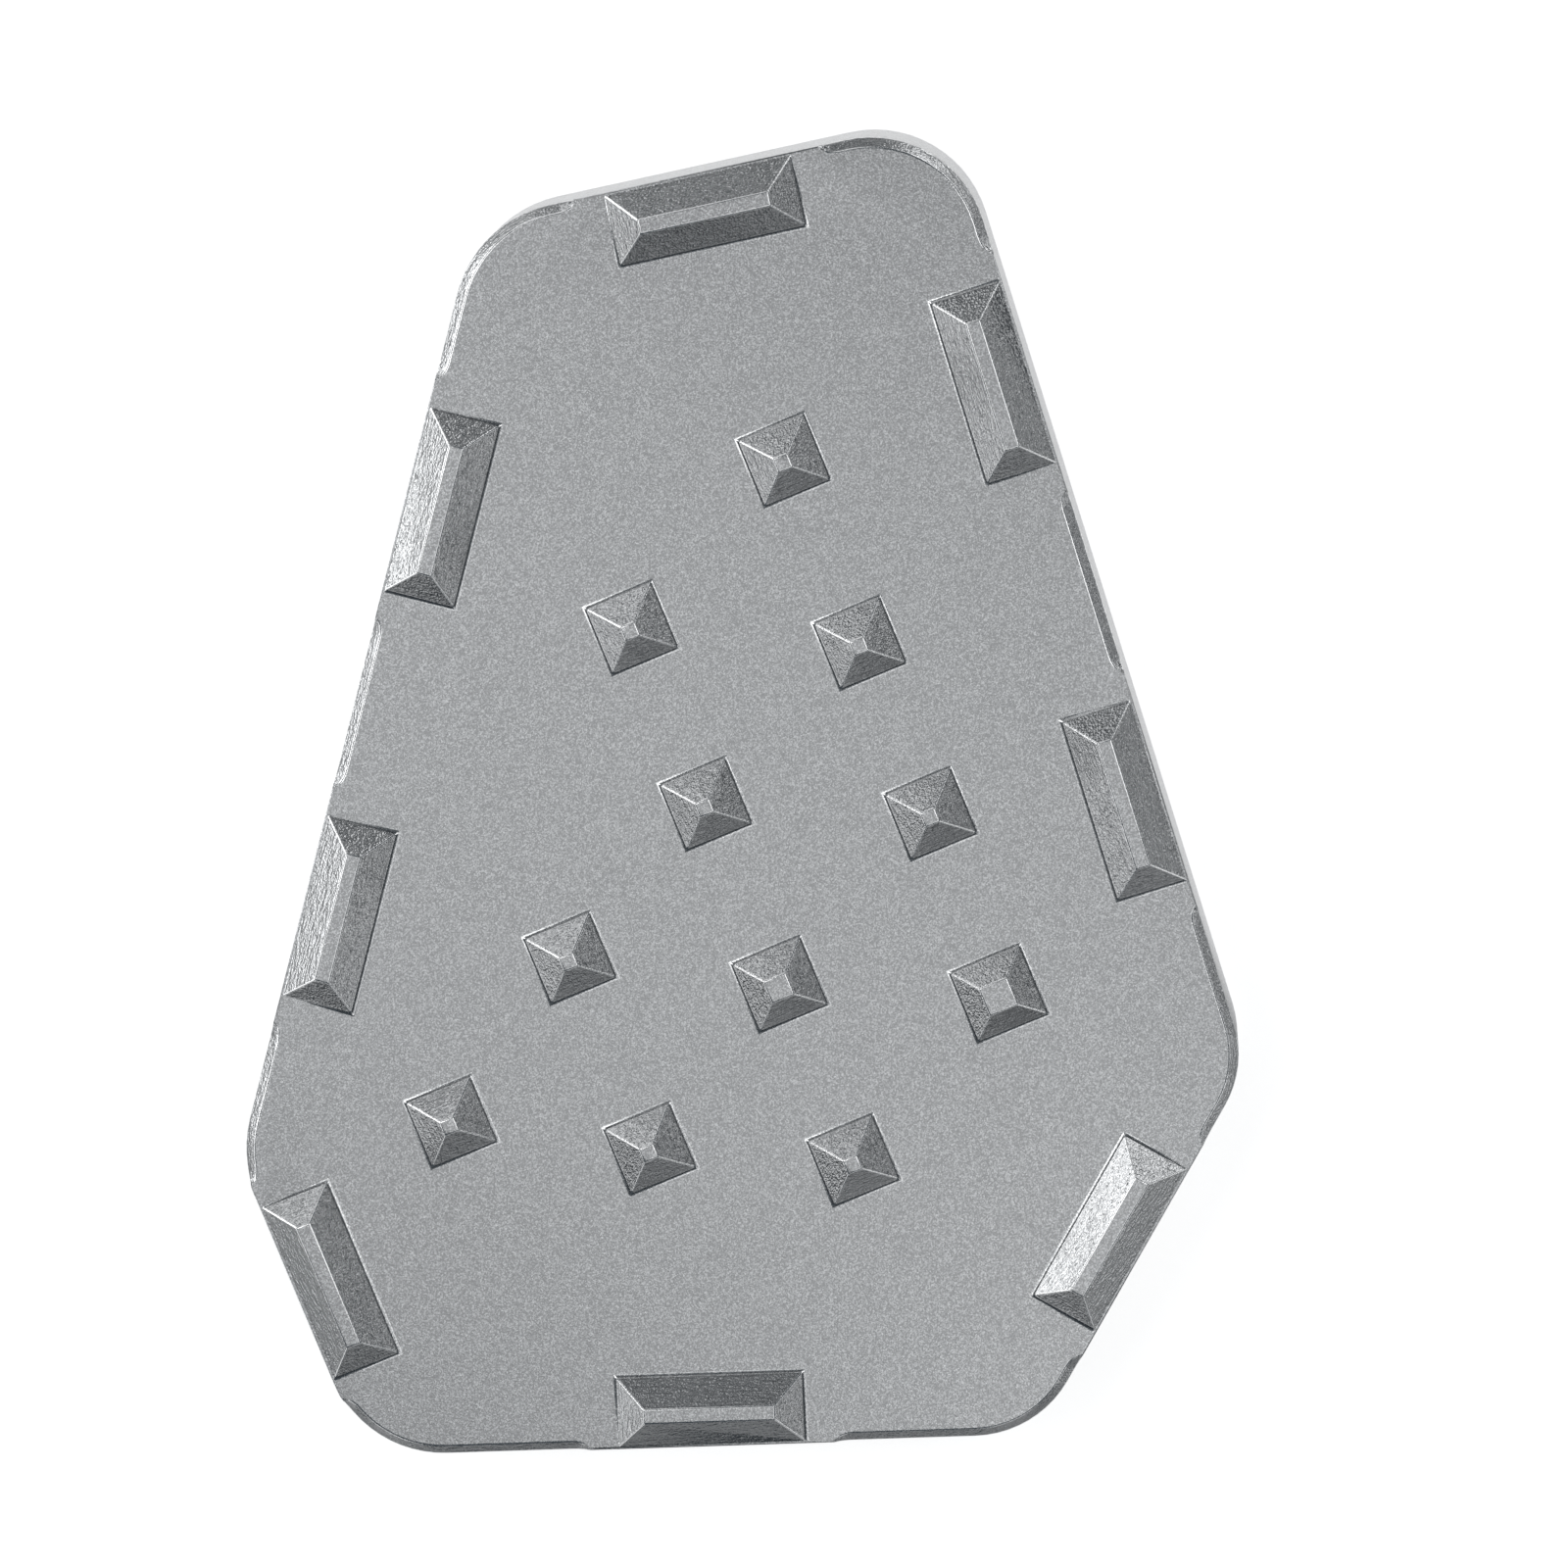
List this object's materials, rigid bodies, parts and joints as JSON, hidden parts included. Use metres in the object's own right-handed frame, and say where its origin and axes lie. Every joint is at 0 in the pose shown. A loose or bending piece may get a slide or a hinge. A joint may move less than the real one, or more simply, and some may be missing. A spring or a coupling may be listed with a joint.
{
  "type": "brake pedal extension plate",
  "caption": "Six-sided machined aluminium foot plate with long grip bars along its edge and small blunt pyramids inside, screwed to a motorbike brake pedal from behind.",
  "frame": {"origin": "midway between the two tapped holes, on the flat back", "axes": "+Z out of the tread, away from the back; +Y along the line of the holes, towards the narrow end; +X to the right, seen from above the tread"},
  "size_m": [0.0558, 0.0732, 0.0096],
  "materials": {
    "anodised_aluminium": "bead-blasted and clear anodised"
  },
  "bodies": {
    "root": {"pedal_plate": "anodised_aluminium"}
  },
  "joints": []
}
